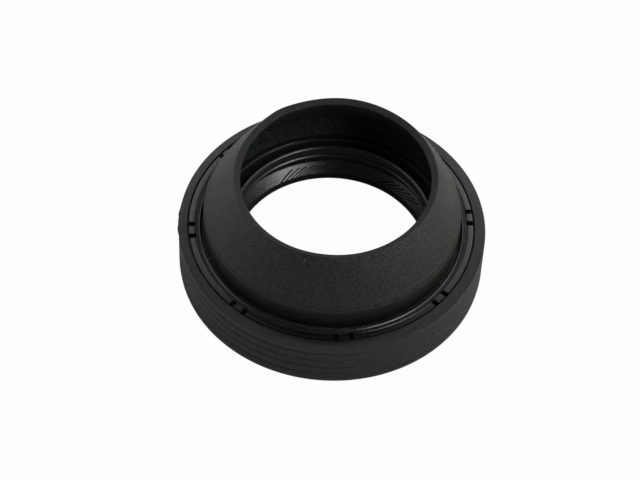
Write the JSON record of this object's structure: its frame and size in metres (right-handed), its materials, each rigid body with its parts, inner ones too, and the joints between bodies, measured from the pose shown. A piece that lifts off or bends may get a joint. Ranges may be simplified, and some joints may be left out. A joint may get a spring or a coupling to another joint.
{
  "type": "gearbox output shaft seal",
  "caption": "Round radial shaft seal with a ribbed rubber outer wall, a spring-loaded sealing lip, a dust lip and a tall conical dust boot.",
  "frame": {"origin": "middle of the flat bottom bead on the oil side, on the shaft axis", "axes": "+Z along the shaft axis from the oil side to the air side, where the dust boot stands"},
  "size_m": [0.062, 0.062, 0.0278],
  "materials": {
    "black_rubber": "moulded, satin",
    "pressed_steel": "pressed and phosphated, satin",
    "spring_steel": "drawn wire, semi-bright"
  },
  "bodies": {
    "root": {"rubber_body": "black_rubber", "steel_case": "pressed_steel", "garter_spring": "spring_steel"}
  },
  "joints": []
}
